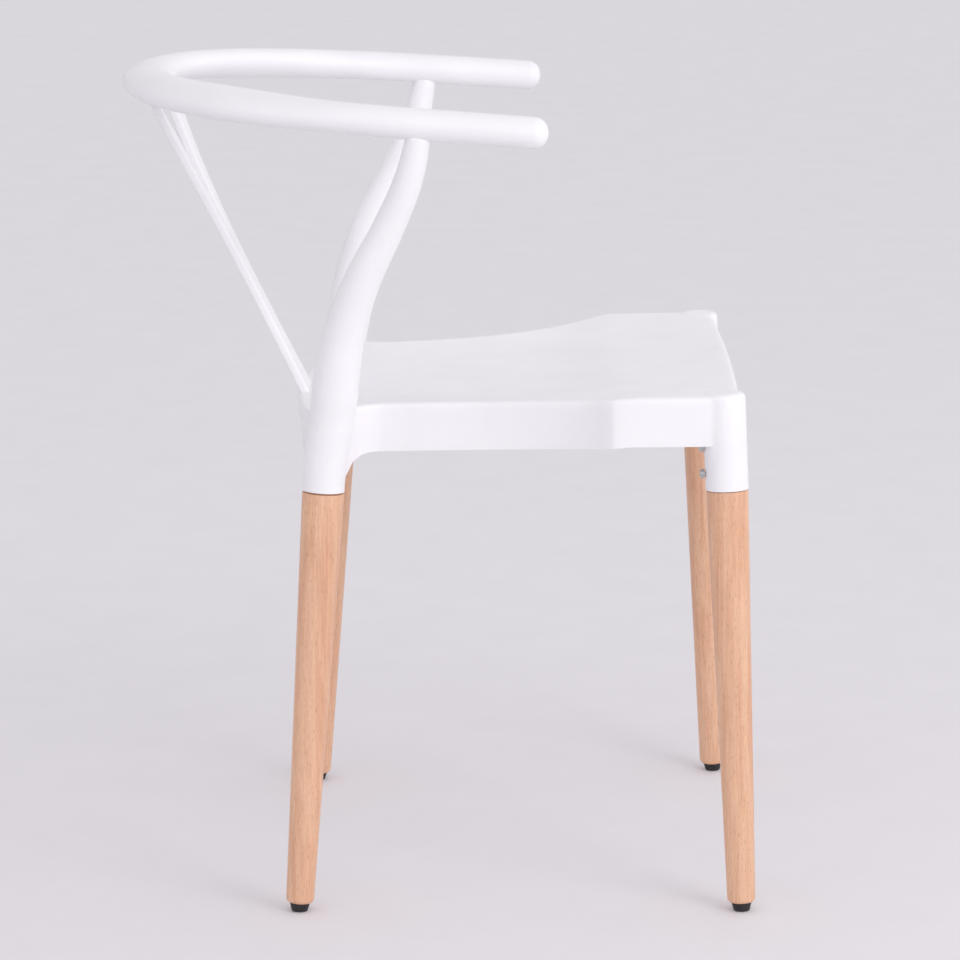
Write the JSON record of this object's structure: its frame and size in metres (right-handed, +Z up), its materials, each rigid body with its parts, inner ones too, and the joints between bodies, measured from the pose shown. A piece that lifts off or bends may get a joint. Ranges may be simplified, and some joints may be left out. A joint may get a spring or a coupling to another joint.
{
  "type": "dining chair",
  "caption": "Low-back dining chair: a white moulded seat with a wishbone back and a horseshoe arm rail, on splayed tapered wooden legs with nailed glides.",
  "frame": {"origin": "on the floor, under the middle of the chair's bounding box", "axes": "+Z up; the sitter faces -Y; +X towards the sitter's left"},
  "size_m": [0.5196, 0.574, 0.7558],
  "materials": {
    "polypropylene_white": "fine satin moulding",
    "beech_clear_lacquer": "turned beech, clear satin lacquer",
    "nylon_black": "moulded black",
    "steel_zinc_plated": "bright zinc plate"
  },
  "bodies": {
    "root": {"seat_frame": "polypropylene_white", "back_rail": "polypropylene_white", "y_splat": "polypropylene_white", "leg_front_right": "beech_clear_lacquer", "leg_front_left": "beech_clear_lacquer", "leg_rear_right": "beech_clear_lacquer", "leg_rear_left": "beech_clear_lacquer", "glide_front_right": "nylon_black", "glide_front_left": "nylon_black", "glide_rear_right": "nylon_black", "glide_rear_left": "nylon_black", "glide_nail_front_right": "steel_zinc_plated", "glide_nail_front_left": "steel_zinc_plated", "glide_nail_rear_right": "steel_zinc_plated", "glide_nail_rear_left": "steel_zinc_plated", "leg_screw_front_right_lower": "steel_zinc_plated", "washer_front_right_lower": "steel_zinc_plated", "leg_screw_front_right_upper": "steel_zinc_plated", "washer_front_right_upper": "steel_zinc_plated", "leg_screw_front_left_lower": "steel_zinc_plated", "washer_front_left_lower": "steel_zinc_plated", "leg_screw_front_left_upper": "steel_zinc_plated", "washer_front_left_upper": "steel_zinc_plated", "leg_screw_rear_right_lower": "steel_zinc_plated", "washer_rear_right_lower": "steel_zinc_plated", "leg_screw_rear_right_upper": "steel_zinc_plated", "washer_rear_right_upper": "steel_zinc_plated", "leg_screw_rear_left_lower": "steel_zinc_plated", "washer_rear_left_lower": "steel_zinc_plated", "leg_screw_rear_left_upper": "steel_zinc_plated", "washer_rear_left_upper": "steel_zinc_plated"}
  },
  "joints": []
}
